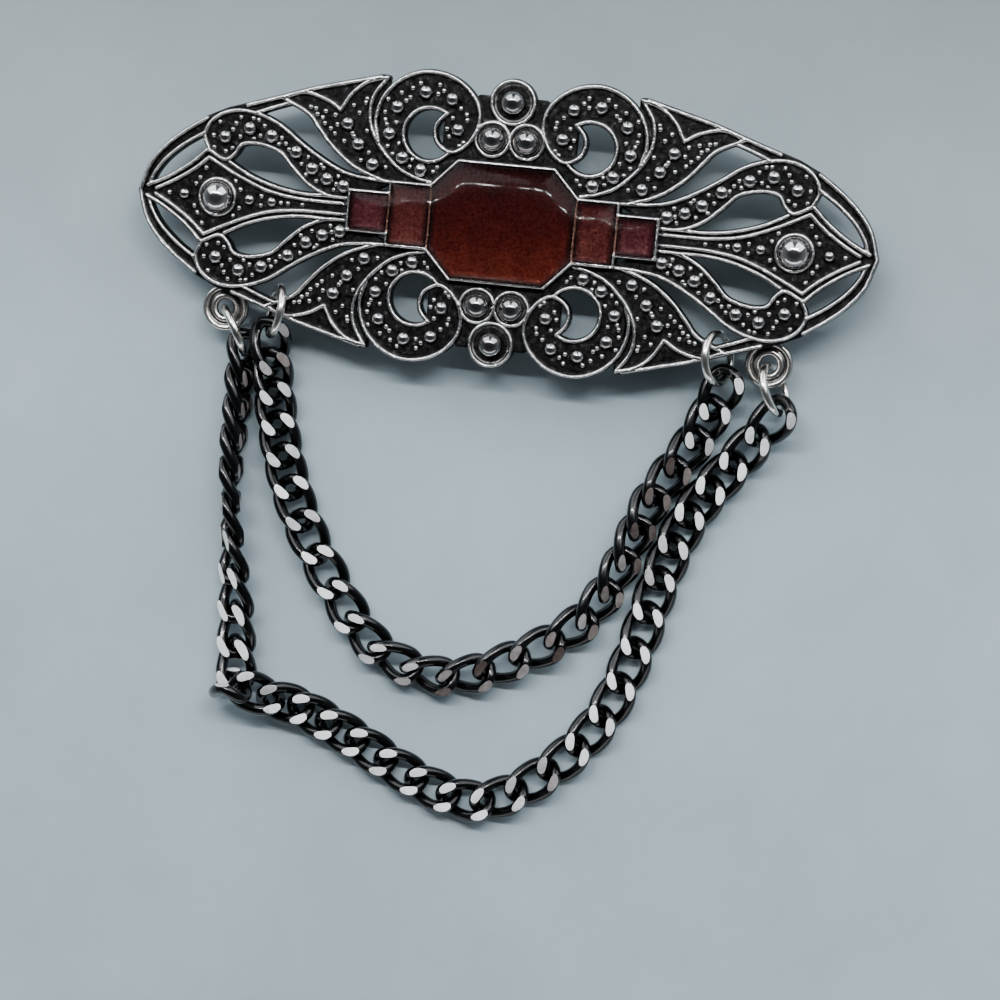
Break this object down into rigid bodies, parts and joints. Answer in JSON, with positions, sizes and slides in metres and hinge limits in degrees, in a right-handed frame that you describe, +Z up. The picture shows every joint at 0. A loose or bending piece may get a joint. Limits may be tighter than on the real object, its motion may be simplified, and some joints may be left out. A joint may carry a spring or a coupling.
{
  "type": "dangling chain brooch",
  "caption": "Pierced silver scroll plate with a stepped red enamel field under clear resin, and curb chains hung in swags from jump rings on its lower edge.",
  "frame": {"origin": "on the surface that the brooch lies on, under the middle of the whole brooch's box", "axes": "+Z up out of the front of the plate, +X along the plate to its right end, +Y from the chains towards the plate"},
  "size_m": [0.081, 0.0824, 0.0068],
  "materials": {
    "antique_silver": "cast antique silver plating with blackened recesses and polished high points",
    "red_enamel": "deep red enamel with fine orange glitter",
    "wine_enamel": "wine red metallic enamel",
    "clear_resin": "clear domed resin, polished",
    "ring_silver": "plain polished silver plating",
    "black_plating": "black plated, with polished flats",
    "pin_steel": "plain satin steel"
  },
  "bodies": {
    "root": {"filigree_plate": "antique_silver", "enamel_centre": "red_enamel", "enamel_left_inner": "wine_enamel", "enamel_left_outer": "wine_enamel", "enamel_right_inner": "wine_enamel", "enamel_right_outer": "wine_enamel", "resin_dome": "clear_resin", "eyelet_left": "antique_silver", "eyelet_right": "antique_silver", "jump_ring_inner_left": "ring_silver", "jump_ring_outer_left": "ring_silver", "jump_ring_inner_right": "ring_silver", "jump_ring_outer_right": "ring_silver", "inner_chain": "black_plating", "outer_chain": "black_plating", "pin_back": "pin_steel"}
  },
  "joints": []
}
